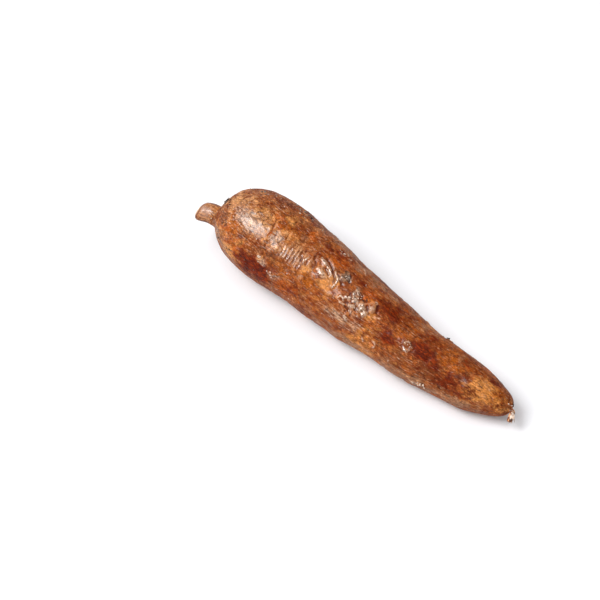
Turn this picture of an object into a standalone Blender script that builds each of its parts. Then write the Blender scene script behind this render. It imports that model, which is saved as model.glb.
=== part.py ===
"""A fresh cassava root, lying on its side.

The root grew as one piece, so it is one solid: a woody stub of stalk at the head, a long bark-covered
body that tapers to a blunt tip, and a frayed strip of tail that curls round the tip. The bark carries
broad swells, crosswise creases, a slanting fold and the warty scars of broken rootlets.

Metres, +Z up. The root lies along X with its head towards -X. The origin is on the surface that the
root lies on, under the middle of its bounding box.
"""

import math
import random

import bmesh
import bpy
import numpy as np
from mathutils import Vector, noise

# Driving dimensions of the body
BODY_LENGTH = 0.2747
SHOULDER_RADIUS = 0.0370
TAPER = 0.0795
HEAD_DOME_LENGTH = 0.061
HEAD_DOME_POWER = 2.55
TIP_DOME_LENGTH = 0.036
TIP_DOME_POWER = 2.1

# The stub of stalk at the head
STUB_LENGTH = 0.0170
STUB_RADIUS = 0.0080
STUB_NARROWING = 0.0010
STUB_END = 0.0052
STUB_END_POWER = 2.3
STUB_YAW = math.radians(32.0)
STUB_OFF_AXIS = (-0.0106, -0.0036)
STUB_CUT_SLANT = 0.42
STUB_CUT_SIDE = math.radians(45.0)
STUB_CUT_REACH = 0.012
STUB_MERGE_RADIUS = 0.0190
STUB_FILLET = 0.0022
MERGE_SOFTNESS = 0.2

# The flattened strip of tail at the tip
TAIL_LENGTH = 0.0098
TAIL_RADIUS = 0.0013
TAIL_OFF_AXIS = (-0.0016, 0.0012)
TAIL_MERGE_RADIUS = 0.0050
TAIL_FLATTENING = 0.35
TAIL_TWIST_START = math.radians(-30.0)
TAIL_TWIST = math.radians(60.0)
TAIL_TURN_START = -0.0004
TAIL_TURN_END = 0.0032
TAIL_YAW = math.radians(-76.0)
TAIL_PITCH = math.radians(-31.0)
TAIL_FILLET = 0.001

# How the root lies: its underside is level, and its tip bends a little away
LEAN = -math.asin(TAPER)
TIP_YAW = math.radians(9.0)
TIP_YAW_START = 0.170
TIP_YAW_END = 0.235
FLAT_DEPTH = 0.0009

# Angles round the root are in degrees from +Y, over the top at 90.
# Broad swells and hollows: distance along, angle round, reach along, reach round, height
SWELLS = (
    (0.010, 28, 0.010, 0.015, -0.0010),
    (0.012, 84, 0.016, 0.018, -0.0011),
    (0.018, 182, 0.018, 0.016, -0.0019),
    (0.080, 28, 0.028, 0.020, 0.0015),
    (0.104, 46, 0.036, 0.013, 0.0019),
    (0.220, 56, 0.016, 0.010, 0.0024),
    (0.252, 52, 0.012, 0.012, -0.0014),
    (0.070, 208, 0.016, 0.018, -0.0012),
    (0.134, 208, 0.014, 0.018, 0.0022),
    (0.182, 188, 0.020, 0.012, 0.0015),
    (0.222, 188, 0.012, 0.010, 0.0007),
    (0.256, 200, 0.014, 0.010, -0.0018),
    (0.103, 104, 0.009, 0.011, 0.0013),
    (0.088, 112, 0.005, 0.009, 0.0006),
    (0.150, 270, 0.045, 0.022, -0.0016),
)
UNEVENNESS = 0.0016
UNEVEN_SIZE = 0.028

# Creases: distance along, angle round, slant from crosswise, half length, half width, depth
CREASES = (
    (0.0569, 114, 6, 0.0120, 0.0018, 0.00050),
    (0.0759, 113, 7, 0.0090, 0.0013, 0.00020),
    (0.0808, 113, 7, 0.0090, 0.0014, 0.00025),
    (0.0853, 111, 12, 0.0100, 0.0016, 0.00050),
    (0.0940, 104, 28, 0.0085, 0.0016, 0.00065),
    (0.1040, 94, 66, 0.0055, 0.0011, 0.00050),
    (0.1110, 102, 45, 0.0060, 0.0012, 0.00060),
    (0.1165, 99, 50, 0.0060, 0.0012, 0.00060),
    (0.1347, 131, 20, 0.0045, 0.0013, 0.00045),
    (0.1390, 104, 40, 0.0060, 0.0014, 0.00045),
    (0.1700, 160, 12, 0.0110, 0.0016, 0.00030),
    (0.2050, 120, -10, 0.0090, 0.0016, 0.00025),
)
MARK_WANDER = 0.0028
MARK_WANDER_SIZE = (0.0055, 0.0045)
LIP_OFFSET = 1.9
LIP_SHARE = 0.45

# Scars and knobs of broken rootlets: distance along, angle round, radius, height
KNOBS = (
    (0.0050, 108, 0.0026, 0.0006),
    (0.0136, 182, 0.0026, 0.0005),
    (0.0202, 55, 0.0028, 0.0005),
    (0.0705, 159, 0.0024, 0.0005),
    (0.0916, 138, 0.0022, 0.0005),
    (0.1020, 63, 0.0030, 0.0004),
    (0.1200, 91, 0.0040, 0.0011),
    (0.1269, 124, 0.0026, 0.0005),
    (0.1335, 98, 0.0034, 0.0008),
    (0.1358, 110, 0.0032, 0.0008),
    (0.1386, 144, 0.0030, 0.0007),
    (0.1453, 108, 0.0030, 0.0006),
    (0.1498, 106, 0.0040, 0.0013),
    (0.1599, 113, 0.0024, 0.0004),
    (0.1862, 116, 0.0024, 0.0005),
    (0.1901, 131, 0.0024, 0.0005),
    (0.2080, 33, 0.0026, 0.0011),
    (0.2075, 179, 0.0030, 0.0005),
)
KNOB_DIMPLE = 0.5
WART_RING = (0.1410, 120, 0.0048)
WART_RING_KNOBS = 6
WART_RADIUS = 0.0028
WART_HEIGHT = 0.0009

# The same kinds of mark on the rest of the bark
SCATTER_SEED = 41
SCATTERED_KNOBS = 30
SCATTERED_CREASES = 16
SCATTER_START = 0.030
SCATTER_END = 0.262
FAR_SIDE_START = 205
FAR_SIDE_END = 410

# How finely the solid is faceted
RINGS = 104
SIDES = 56
CLOSER = 0.8
WRINKLED_START = 0.040
WRINKLED_END = 0.165
THIN_RADIUS = 0.015
PROFILE_SAMPLES = 12001
WELD_DISTANCE = 1e-6

BARK_COLOR = (0.36, 0.14, 0.045, 1.0)
BARK_ROUGHNESS = 0.36


def smooth_step(low, high, value):
    """0 below low and 1 above high, with a soft start and a soft end."""
    share = np.clip((value - low) / (high - low), 0.0, 1.0)
    return share * share * (3.0 - 2.0 * share)


def dome(depth, length, power):
    """The share of the full radius that a rounded end has at a depth behind its front."""
    inside = np.clip(depth / length, 0.0, 1.0)
    return (1.0 - (1.0 - inside) ** power) ** (1.0 / power)


def soft_max(first, second, fillet):
    """The larger of two radii, with a fillet where they meet."""
    return 0.5 * (first + second + np.sqrt((first - second) ** 2 + fillet**2))


def radius_at(along):
    """The plain radius of the stub, body and tail at a distance along the root from its shoulder."""
    body = (SHOULDER_RADIUS - TAPER * along) * dome(along, HEAD_DOME_LENGTH, HEAD_DOME_POWER)
    body = body * dome(BODY_LENGTH - along, TIP_DOME_LENGTH, TIP_DOME_POWER)
    from_cut = along + STUB_LENGTH
    stub = STUB_RADIUS - STUB_NARROWING * (1.0 - smooth_step(0.0, STUB_LENGTH, from_cut))
    from_end = BODY_LENGTH + TAIL_LENGTH - along
    with_stub = soft_max(body, stub, STUB_FILLET)
    with_tail = soft_max(body, TAIL_RADIUS, TAIL_FILLET)
    radius = np.where(along < 0.5 * BODY_LENGTH, with_stub, with_tail)
    return radius * dome(from_cut, STUB_END, STUB_END_POWER) * dome(from_end, TAIL_RADIUS, 2.0)


def heading_at(along):
    """The root's yaw and pitch, in radians, at a distance along it."""
    yaw = STUB_YAW * (1.0 - smooth_step(-0.010, 0.0, along))
    yaw = yaw + TIP_YAW * smooth_step(TIP_YAW_START, TIP_YAW_END, along)
    curl = smooth_step(BODY_LENGTH + TAIL_TURN_START, BODY_LENGTH + TAIL_TURN_END, along)
    yaw = yaw + (TAIL_YAW - TIP_YAW) * curl
    pitch = LEAN + (TAIL_PITCH - LEAN) * curl
    return yaw, pitch


def headings(along):
    """The directions in which the root runs at distances along it."""
    yaw, pitch = heading_at(along)
    return np.stack((np.cos(pitch) * np.cos(yaw), np.cos(pitch) * np.sin(yaw), np.sin(pitch)), axis=1)


def off_axis(along):
    """How far to the side, and how far up, the stub and the tail stand off the body's axis."""
    radius = radius_at(along)
    by_stub = np.minimum((STUB_MERGE_RADIUS - radius) / (STUB_MERGE_RADIUS - STUB_RADIUS), 1.0)
    by_stub = soft_max(by_stub, 0.0, MERGE_SOFTNESS)
    by_tail = np.minimum((TAIL_MERGE_RADIUS - radius) / (TAIL_MERGE_RADIUS - TAIL_RADIUS), 1.0)
    by_tail = soft_max(by_tail, 0.0, MERGE_SOFTNESS)
    in_head = (along < 0.5 * BODY_LENGTH)[:, None]
    return np.where(in_head, by_stub[:, None] * STUB_OFF_AXIS, by_tail[:, None] * TAIL_OFF_AXIS)


def centreline(samples):
    """The points of the root's centreline, with its shoulder at x = 0, at increasing distances."""
    heading = headings(samples)
    steps = np.diff(samples)[:, None] * 0.5 * (heading[1:] + heading[:-1])
    points = np.vstack((np.zeros(3), np.cumsum(steps, axis=0)))
    shoulder = np.array([np.interp(0.0, samples, points[:, axis]) for axis in range(3)])
    points = points - shoulder
    points[:, 2] += SHOULDER_RADIUS
    points[:, 1:] += off_axis(samples)
    return points


def ring_places(count):
    """Distances along the root of its rings, even on the outline but closer where it is wrinkled or thin."""
    samples = np.linspace(-STUB_LENGTH, BODY_LENGTH + TAIL_LENGTH, PROFILE_SAMPLES)
    radii = radius_at(samples)
    wrinkled = smooth_step(WRINKLED_START - 0.01, WRINKLED_START + 0.01, samples)
    wrinkled = wrinkled * (1.0 - smooth_step(WRINKLED_END - 0.01, WRINKLED_END + 0.01, samples))
    thin = 1.0 - smooth_step(0.3 * THIN_RADIUS, THIN_RADIUS, radii)
    closeness = 1.0 + CLOSER * np.maximum(wrinkled, thin)
    run = np.hypot(np.diff(samples), np.diff(radii)) * closeness[1:]
    run = np.concatenate(([0.0], np.cumsum(run)))
    return np.interp(np.linspace(0.0, run[-1], count + 1), run, samples)


def from_mark(along, around, radius, mark_along, mark_around):
    """How far points are from a mark on the bark, in metres along the root and round it."""
    turn = (around - math.radians(mark_around) + math.pi) % (2.0 * math.pi) - math.pi
    return along - mark_along, turn * radius


def swell(down, across, reach_down, reach_across, height):
    return height * np.exp(-((down / reach_down) ** 2) - (across / reach_across) ** 2)


def crease(down, across, slant, half_length, half_width, depth):
    """A groove that runs round the root, with a raised lip on each side and ends that fade out."""
    turn = math.radians(slant)
    run = across * math.cos(turn) + down * math.sin(turn)
    off = np.abs(down * math.cos(turn) - across * math.sin(turn)) / half_width
    fade = np.exp(-((run / half_length) ** 4))
    return depth * fade * (LIP_SHARE * np.exp(-((off - LIP_OFFSET) ** 2)) - np.exp(-(off**2)))


def knob(down, across, size, height):
    """A round bump with a dimple in its top."""
    away = np.hypot(down, across) / size
    return height * (np.exp(-(away**4)) - KNOB_DIMPLE * np.exp(-((2.5 * away) ** 2)))


def scattered_knobs():
    """Small knobs anywhere on the bark, as rows of KNOBS."""
    draw = random.Random(SCATTER_SEED)
    rows = []
    for _ in range(SCATTERED_KNOBS):
        along = draw.uniform(SCATTER_START, SCATTER_END)
        around = draw.uniform(0, 360)
        rows.append((along, around, draw.uniform(0.0018, 0.0032), draw.uniform(0.00024, 0.00054)))
    return rows


def scattered_creases():
    """Creases on the far side and the underside, as rows of CREASES."""
    draw = random.Random(SCATTER_SEED + 1)
    rows = []
    for _ in range(SCATTERED_CREASES):
        along = draw.uniform(SCATTER_START, SCATTER_END)
        around = draw.uniform(FAR_SIDE_START, FAR_SIDE_END)
        slant = draw.uniform(-25, 35)
        rows.append((along, around, slant, draw.uniform(0.006, 0.014), 0.0016, draw.uniform(0.0002, 0.0005)))
    return rows


def wart_ring():
    """The ring of warts beside the largest scar, as rows of KNOBS."""
    ring_along, ring_around, ring_radius = WART_RING
    bark_radius = float(radius_at(np.array(ring_along)))
    rows = []
    for index in range(WART_RING_KNOBS):
        turn = 2.0 * math.pi * index / WART_RING_KNOBS
        along = ring_along + ring_radius * math.cos(turn)
        around = ring_around + math.degrees(ring_radius * math.sin(turn) / bark_radius)
        rows.append((along, around, WART_RADIUS, WART_HEIGHT))
    return rows


def noise_on_bark(along, around, radius, size, shift=0.0):
    """Smooth noise from -1 to 1 on the bark, with a size along the root and a size round it."""
    down = along / size[0] + shift
    across = np.cos(around) * radius / size[1]
    up = np.sin(around) * radius / size[1]
    places = zip(down.ravel(), across.ravel(), up.ravel())
    return np.array([noise.noise(Vector(place)) for place in places]).reshape(along.shape)


def relief(along, around, radius):
    """How far the bark stands above the plain surface. It fades out on the stub and at the tip."""
    height = UNEVENNESS * noise_on_bark(along, around, radius, (UNEVEN_SIZE, UNEVEN_SIZE))
    for mark_along, mark_around, *sizes in SWELLS:
        down, across = from_mark(along, around, radius, mark_along, mark_around)
        height = height + swell(down, across, *sizes)
    along_wander = MARK_WANDER * noise_on_bark(along, around, radius, MARK_WANDER_SIZE, 61.0)
    round_wander = MARK_WANDER * noise_on_bark(along, around, radius, MARK_WANDER_SIZE, 83.0)
    for mark_along, mark_around, *sizes in list(CREASES) + scattered_creases():
        down, across = from_mark(along, around, radius, mark_along, mark_around)
        height = height + crease(down + along_wander, across + round_wander, *sizes)
    for mark_along, mark_around, *sizes in list(KNOBS) + wart_ring() + scattered_knobs():
        down, across = from_mark(along, around, radius, mark_along, mark_around)
        height = height + knob(down + along_wander, across + round_wander, *sizes)
    on_body = smooth_step(-0.002, 0.006, along) * (1.0 - smooth_step(BODY_LENGTH - 0.010, BODY_LENGTH, along))
    return height * on_body


def tail_flattening(along, around):
    """The factor on the radius that flattens the tail's section, turning as the strip twists."""
    share = smooth_step(BODY_LENGTH - 0.003, BODY_LENGTH + 0.003, along)
    twist = TAIL_TWIST_START + TAIL_TWIST * (along - BODY_LENGTH) / TAIL_LENGTH
    return 1.0 + TAIL_FLATTENING * share * np.cos(2.0 * (around - twist))


def stub_cut(along, around, reach):
    """How far the slanting cut of the stub moves the points near its end along it."""
    share = 1.0 - smooth_step(0.0, STUB_CUT_REACH, along + STUB_LENGTH)
    return STUB_CUT_SLANT * share * reach * np.cos(around - STUB_CUT_SIDE)


def rolled_sheet(rings, sides):
    """A sheet of bark rolled round the centreline, as points by ring and side."""
    places = ring_places(rings)
    samples = np.linspace(-STUB_LENGTH, BODY_LENGTH + TAIL_LENGTH, PROFILE_SAMPLES)
    line = centreline(samples)
    centre = np.stack([np.interp(places, samples, line[:, axis]) for axis in range(3)], axis=1)
    yaw, _ = heading_at(places)
    sideways = np.stack((-np.sin(yaw), np.cos(yaw), np.zeros_like(yaw)), axis=1)
    upward = np.cross(headings(places), sideways)
    along, around = np.meshgrid(places, np.linspace(0.0, 2.0 * math.pi, sides + 1), indexing="ij")
    radius = radius_at(along)
    reach = radius * tail_flattening(along, around) + relief(along, around, radius)
    outward = np.cos(around)[..., None] * sideways[:, None, :]
    outward = outward + np.sin(around)[..., None] * upward[:, None, :]
    points = centre[:, None, :] + reach[..., None] * outward
    points = points + stub_cut(along, around, reach)[..., None] * headings(places)[:, None, :]
    return rested(points)


def rested(points):
    """The points moved so that the root rests on its flattened underside, over the origin."""
    points[..., 2] = np.maximum(points[..., 2], FLAT_DEPTH)
    low = points.min(axis=(0, 1))
    high = points.max(axis=(0, 1))
    return points - np.array((0.5 * (low[0] + high[0]), 0.5 * (low[1] + high[1]), low[2]))


def bark_material():
    material = bpy.data.materials.new("bark")
    material.use_nodes = True
    shader = material.node_tree.nodes["Principled BSDF"]
    shader.inputs["Base Color"].default_value = BARK_COLOR
    shader.inputs["Roughness"].default_value = BARK_ROUGHNESS
    shader.inputs["Metallic"].default_value = 0.0
    return material


def make_root():
    """The root as one closed mesh: a flat grid rolled up, with its seam and its two ends welded."""
    points = rolled_sheet(RINGS, SIDES)
    bm = bmesh.new()
    bmesh.ops.create_grid(bm, x_segments=RINGS, y_segments=SIDES, size=1.0)
    for vert in bm.verts:
        ring = round((vert.co.x + 1.0) * 0.5 * RINGS)
        side = round((vert.co.y + 1.0) * 0.5 * SIDES)
        vert.co = points[ring, side]
    bmesh.ops.remove_doubles(bm, verts=bm.verts, dist=WELD_DISTANCE)
    bmesh.ops.recalc_face_normals(bm, faces=bm.faces)
    mesh = bpy.data.meshes.new("cassava_root")
    bm.to_mesh(mesh)
    bm.free()
    mesh.shade_smooth()
    mesh.materials.append(bark_material())
    root = bpy.data.objects.new("cassava_root", mesh)
    bpy.context.scene.collection.objects.link(root)
    return root


def main():
    for obj in list(bpy.data.objects):
        bpy.data.objects.remove(obj)
    make_root()


main()
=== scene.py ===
"""The looks of a fresh waxed cassava root that lies on its side on a white studio floor.

The bark is one closed sheet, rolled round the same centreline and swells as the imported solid, with the
finer relief of grown bark: lengthwise grain, lifted plates, crosswise ridges, pits and warty scars.
Small pieces sit on it: lifted flakes, stubs of broken rootlets and the frayed strands of the tail.

Metres, +Z up. Angles round the root are in degrees from +Y, over the top at 90. A pattern of noise
is given by its size along the root and its size round it, and a shift sets it apart from the others.
"""

import math
import random
from itertools import cycle

import bmesh
import bpy
import numpy as np
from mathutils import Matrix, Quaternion, Vector, noise


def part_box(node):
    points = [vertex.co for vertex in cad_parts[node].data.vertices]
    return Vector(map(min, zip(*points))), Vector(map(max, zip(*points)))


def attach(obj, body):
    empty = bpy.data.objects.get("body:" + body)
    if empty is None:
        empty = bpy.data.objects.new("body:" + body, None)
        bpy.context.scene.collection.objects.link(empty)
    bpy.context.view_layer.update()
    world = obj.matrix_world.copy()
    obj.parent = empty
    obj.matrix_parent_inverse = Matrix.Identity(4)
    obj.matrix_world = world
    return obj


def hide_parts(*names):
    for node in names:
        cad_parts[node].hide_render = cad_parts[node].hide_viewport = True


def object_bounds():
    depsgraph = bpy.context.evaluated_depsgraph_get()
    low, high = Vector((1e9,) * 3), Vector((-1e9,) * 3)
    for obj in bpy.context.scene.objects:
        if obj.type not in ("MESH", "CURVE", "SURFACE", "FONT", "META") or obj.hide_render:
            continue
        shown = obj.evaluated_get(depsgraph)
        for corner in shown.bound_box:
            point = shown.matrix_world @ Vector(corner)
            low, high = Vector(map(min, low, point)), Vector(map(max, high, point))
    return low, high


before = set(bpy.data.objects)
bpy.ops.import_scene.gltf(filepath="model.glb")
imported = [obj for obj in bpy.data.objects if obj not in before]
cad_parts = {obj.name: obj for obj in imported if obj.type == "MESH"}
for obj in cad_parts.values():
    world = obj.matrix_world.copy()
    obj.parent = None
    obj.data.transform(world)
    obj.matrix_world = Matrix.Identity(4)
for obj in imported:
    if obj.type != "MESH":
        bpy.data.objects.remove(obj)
CAD_LOW, CAD_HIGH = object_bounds()

# Camera: the photograph's viewing angle, with the root laid flat
PHOTO_SIZE = 600
CAMERA_AZIMUTH = math.radians(41.3)
CAMERA_ELEVATION = math.radians(55.0)
CAMERA_DISTANCE = 1.6
FOCAL_PIXELS = 2132.8
SENSOR_WIDTH = 36.0
CLIP_START = 0.05
CLIP_END = 50.0
CENTRE_PIXEL = (356.0, 299.5)

# Studio
KEY_DIRECTION = (-0.352, -0.432, 0.827)
KEY_DISTANCE = 3.0
KEY_WIDTH = 1.5
KEY_POWER = 86.0
FILL_HEIGHT = 4.0
FILL_WIDTH = 4.0
FILL_POWER = 90.0
HORIZON_STRENGTH = 0.45
ZENITH_STRENGTH = 0.12
HORIZON_RISE = (0.12, 0.60)
FLOOR_HALF_WIDTH = 6.0

# The body's driving dimensions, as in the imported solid
BODY_LENGTH = 0.2747
SHOULDER_RADIUS = 0.0370
TAPER = 0.0795
HEAD_DOME_LENGTH = 0.061
HEAD_DOME_POWER = 2.55
TIP_DOME_LENGTH = 0.036
TIP_DOME_POWER = 2.1

STUB_LENGTH = 0.0170
STUB_RADIUS = 0.0080
STUB_NARROWING = 0.0010
STUB_END = 0.0052
STUB_END_POWER = 2.3
STUB_YAW = math.radians(32.0)
STUB_TURN_START = -0.010
STUB_TURN_END = 0.0
STUB_OFF_AXIS = (-0.0106, -0.0036)
STUB_CUT_SLANT = 0.42
STUB_CUT_SIDE = math.radians(45.0)
STUB_CUT_REACH = 0.012
STUB_MERGE_RADIUS = 0.0190
STUB_FILLET = 0.0022
MERGE_SOFTNESS = 0.2

TAIL_LENGTH = 0.0098
TAIL_RADIUS = 0.0013
TAIL_OFF_AXIS = (-0.0016, 0.0012)
TAIL_MERGE_RADIUS = 0.0050
TAIL_FLATTENING = 0.35
TAIL_TWIST_START = math.radians(-30.0)
TAIL_TWIST = math.radians(60.0)
TAIL_TURN_START = -0.0004
TAIL_TURN_END = 0.0032
TAIL_YAW = math.radians(-76.0)
TAIL_PITCH = math.radians(-31.0)
TAIL_FILLET = 0.001

LEAN = -math.asin(TAPER)
TIP_YAW = math.radians(9.0)
TIP_YAW_START = 0.170
TIP_YAW_END = 0.235
FLAT_DEPTH = 0.0009

# Broad swells and hollows: distance along, angle round, reach along, reach round, height
SWELLS = (
    (0.01, 28, 0.01, 0.015, -0.001), (0.012, 84, 0.016, 0.018, -0.0011),
    (0.018, 182, 0.018, 0.016, -0.0019), (0.08, 28, 0.028, 0.02, 0.0015),
    (0.104, 46, 0.036, 0.013, 0.0019), (0.22, 56, 0.016, 0.01, 0.0024),
    (0.252, 52, 0.012, 0.012, -0.0014), (0.07, 208, 0.016, 0.018, -0.0012),
    (0.134, 208, 0.014, 0.018, 0.0022), (0.182, 188, 0.02, 0.012, 0.0015),
    (0.222, 188, 0.012, 0.01, 0.0007), (0.256, 200, 0.014, 0.01, -0.0018),
    (0.103, 104, 0.009, 0.011, 0.0013), (0.088, 112, 0.005, 0.009, 0.0006),
    (0.15, 270, 0.045, 0.022, -0.0016),
)
UNEVENNESS = 0.0016
UNEVEN_PATTERN = (0.028, 0.028)

# Creases: distance along, angle round, slant from crosswise, half length, half width, depth
CREASES = (
    (0.0569, 114, 6, 0.012, 0.0018, 0.0005), (0.0759, 113, 7, 0.009, 0.0013, 0.0002),
    (0.0808, 113, 7, 0.009, 0.0014, 0.00025), (0.0853, 111, 12, 0.01, 0.0016, 0.0005),
    (0.094, 104, 28, 0.0085, 0.0016, 0.00065), (0.104, 94, 66, 0.0055, 0.0011, 0.0005),
    (0.111, 102, 45, 0.006, 0.0012, 0.0006), (0.1165, 99, 50, 0.006, 0.0012, 0.0006),
    (0.1347, 131, 20, 0.0045, 0.0013, 0.00045), (0.139, 104, 40, 0.006, 0.0014, 0.00045),
    (0.17, 160, 12, 0.011, 0.0016, 0.0003), (0.205, 120, -10, 0.009, 0.0016, 0.00025),
)
MARK_WANDER = 0.0028
MARK_WANDER_PATTERNS = ((0.0055, 0.0045, 61.0), (0.0055, 0.0045, 83.0))
LIP_OFFSET = 1.9
LIP_SHARE = 0.45

# Scars and knobs of broken rootlets: distance along, angle round, radius, height
KNOBS = (
    (0.005, 108, 0.0026, 0.0006), (0.0136, 182, 0.0026, 0.0005), (0.0202, 55, 0.0028, 0.0005),
    (0.0705, 159, 0.0024, 0.0005), (0.0916, 138, 0.0022, 0.0005), (0.102, 63, 0.003, 0.0004),
    (0.12, 91, 0.004, 0.0011), (0.1269, 124, 0.0026, 0.0005), (0.1335, 98, 0.0034, 0.0008),
    (0.1358, 110, 0.0032, 0.0008), (0.1386, 144, 0.003, 0.0007), (0.1453, 108, 0.003, 0.0006),
    (0.1498, 106, 0.004, 0.0013), (0.1599, 113, 0.0024, 0.0004), (0.1862, 116, 0.0024, 0.0005),
    (0.1901, 131, 0.0024, 0.0005), (0.208, 33, 0.0026, 0.0011), (0.2075, 179, 0.003, 0.0005),
)
KNOB_DIMPLE = 0.5
DIMPLE_NARROWING = 2.5
WART_RING = (0.1410, 120, 0.0048)
WART_RING_KNOBS = 6
WART_RADIUS = 0.0028
WART_HEIGHT = 0.0009

# Marks at random places: how many, then the range of each value in a row
SCATTER_SEED = 41
SCATTERED_ALONG = (0.030, 0.262)
SCATTERED_KNOBS = (30, SCATTERED_ALONG, (0, 360), (0.0018, 0.0032), (0.00024, 0.00054))
SCATTERED_CREASES = (16, SCATTERED_ALONG, (205, 410), (-25, 35), (0.006, 0.014), (0.0002, 0.0005))
SCATTERED_CREASE_WIDTH = 0.0016
SCATTERED_PATCHES = (56, (0.0, BODY_LENGTH), (215, 392), (0.006, 0.015), (0.5, 0.9), (0.6, 1.0))
SCATTERED_TONES = ("tan", "orange", "ochre", "red", "mauve", "paper", "wax")

# How finely the bark is faceted
RINGS = 440
SIDES = 216
CLOSER = 0.8
WRINKLED_START = 0.040
WRINKLED_END = 0.165
WRINKLED_FADE = 0.01
THIN_RADIUS = 0.015
THINNEST_SHARE = 0.3
WELD_DISTANCE = 1e-6
MILLIMETRE = 0.001
# Distances along the root at which its centreline is worked out
PROFILE = np.linspace(-STUB_LENGTH, BODY_LENGTH + TAIL_LENGTH, 12001)

# Finer relief of the bark
GRAIN_PATTERN = (0.013, 0.0024, 3.1)
GRAIN_HEIGHT = 0.00014
GRANULE_PATTERN = (0.0036, 0.0022, 7.7)
GRANULE_HEIGHT = 0.00013
PLATE_PATTERN = (0.0085, 0.0048, 12.3)
PLATE_HEIGHT = 0.00013
PLATE_EDGE = 0.06
STUB_GRAIN_PATTERN = (0.020, 0.0018, 5.5)
STUB_GRAIN_HEIGHT = 0.00022
BODY_FADE = (-0.002, 0.006)
TIP_FADE = 0.010
STUB_FADE = 0.004
CUT_FADE = 0.003
TAIL_FADE = 0.003

# Fine crosswise ridges: distance along, angle round, slant, reach along, reach round, spacing, height
RIDGED = (
    (0.0805, 114, 8, 0.0085, 0.008, 0.0027, 0.00046), (0.098, 290, 5, 0.012, 0.012, 0.0026, 0.0003),
    (0.175, 330, -8, 0.01, 0.01, 0.0025, 0.00024), (0.056, 5, 10, 0.011, 0.01, 0.0027, 0.00026),
)
RIDGE_WANDER = 0.0008
RIDGE_WANDER_PATTERN = (0.006, 0.004, 21.9)

# Welts, and the gaps between them: half width, height, then places as distance along and angle round
WELTS = (
    (0.0011, 0.001, ((0.097, 93), (0.1009, 96), (0.1048, 98), (0.1078, 100), (0.1104, 104))),
    (0.0009, -0.0009, ((0.0996, 88), (0.1039, 91), (0.1082, 94), (0.1126, 101))),
    (0.0017, -0.0007, ((0.1043, 101), (0.1082, 105))),
    (0.0028, 0.0006, ((0.1013, 109), (0.1065, 112))),
    (0.001, 0.0011, ((0.1113, 96), (0.1139, 99), (0.1165, 102), (0.1173, 108), (0.1169, 117))),
    (0.001, -0.0006, ((0.1095, 93), (0.1139, 102))), (0.0026, 0.001, ((0.1186, 96), (0.1217, 91))),
    (0.0009, -0.0014, ((0.1217, 85), (0.1242, 94))),
    (0.0008, 0.0009, ((0.1252, 124), (0.126, 120), (0.1286, 120), (0.1304, 123))),
    (0.0009, -0.0009, ((0.1278, 123),)), (0.0008, 0.0008, ((0.1282, 128), (0.1317, 127))),
    (0.0015, 0.0009, ((0.1295, 116), (0.1325, 116))),
    (0.0007, -0.0008, ((0.1308, 108), (0.1347, 115))), (0.0016, 0.0012, ((0.133, 104), (0.1377, 111))),
    (0.0013, 0.001, ((0.133, 96), (0.1364, 101))), (0.0011, -0.001, ((0.1312, 125), (0.1377, 114))),
    (0.0014, 0.0011, ((0.1356, 124), (0.1386, 121))), (0.0006, -0.0009, ((0.139, 118),)),
    (0.0011, 0.0008, ((0.1399, 113),)), (0.0023, 0.0012, ((0.1438, 114), (0.1485, 120))),
    (0.0008, -0.001, ((0.1472, 119),)), (0.0009, -0.0009, ((0.1468, 106), (0.1507, 115))),
    (0.0026, 0.0006, ((0.1503, 106),)), (0.0005, -0.0005, ((0.1503, 103),)),
    (0.0013, 0.0008, ((0.1507, 94),)), (0.0013, -0.001, ((0.1529, 96), (0.155, 106))),
    (0.0011, 0.001, ((0.1368, 142), (0.1394, 145))), (0.0008, 0.0007, ((0.1377, 131), (0.1403, 131))),
    (0.0008, -0.0009, ((0.1325, 129), (0.1373, 131))), (0.0009, 0.0006, ((0.1595, 111),)),
    (0.0006, 0.0006, ((0.1035, 66), (0.1069, 64))), (0.0006, 0.0006, ((0.1065, 56), (0.1082, 59))),
    (0.0012, 0.0007, ((0.1117, 63),)), (0.0005, -0.0006, ((0.1113, 61),)),
    (0.0007, 0.0006, ((0.1243, 57), (0.1286, 65))),
    (0.0007, 0.0007, ((0.1853, 117), (0.1869, 111), (0.1892, 112), (0.1916, 117), (0.1908, 124))),
    (0.001, 0.0009, ((0.1869, 127), (0.19, 128))), (0.0007, 0.0008, ((0.1563, 157), (0.1581, 163))),
    (0.0006, 0.0006, ((0.1644, 152), (0.1667, 150), (0.168, 157), (0.1667, 163))),
    (0.0008, 0.0008, ((0.2017, 185), (0.2064, 182), (0.2095, 183))),
    (0.0008, -0.0006, ((0.2197, 158), (0.2228, 164))),
    (0.0007, 0.0007, ((0.0683, 157), (0.0705, 158), (0.0722, 158))),
    (0.0006, 0.0007, ((0.074, 156), (0.0783, 153))), (0.0006, 0.0006, ((0.0909, 137),)),
    (0.0007, 0.0005, ((0.0549, 151), (0.0623, 151))), (0.0006, 0.0004, ((0.0562, 146), (0.064, 146))),
    (0.0008, 0.0006, ((0.0885, 121), (0.0873, 112), (0.0888, 105))),
    (0.0008, -0.0005, ((0.05, 90), (0.053, 107), (0.056, 124))),
    (0.0007, 0.0003, ((0.052, 94), (0.0548, 107), (0.057, 116))),
    (0.0006, -0.0005, ((0.0615, 72), (0.064, 91), (0.066, 106))),
    (0.0016, 0.001, ((0.129, 296), (0.133, 304))), (0.0012, -0.0009, ((0.134, 292), (0.137, 308))),
    (0.002, 0.0011, ((0.14, 300), (0.144, 294))),
    (0.001, 0.0009, ((0.125, 310), (0.13, 316), (0.136, 314))),
    (0.0012, 0.0008, ((0.08, 18), (0.084, 24), (0.09, 22))),
    (0.001, 0.0008, ((0.215, 288), (0.22, 296))), (0.001, -0.0008, ((0.213, 298), (0.219, 304))),
)
WELT_WANDER = 0.0008
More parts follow.
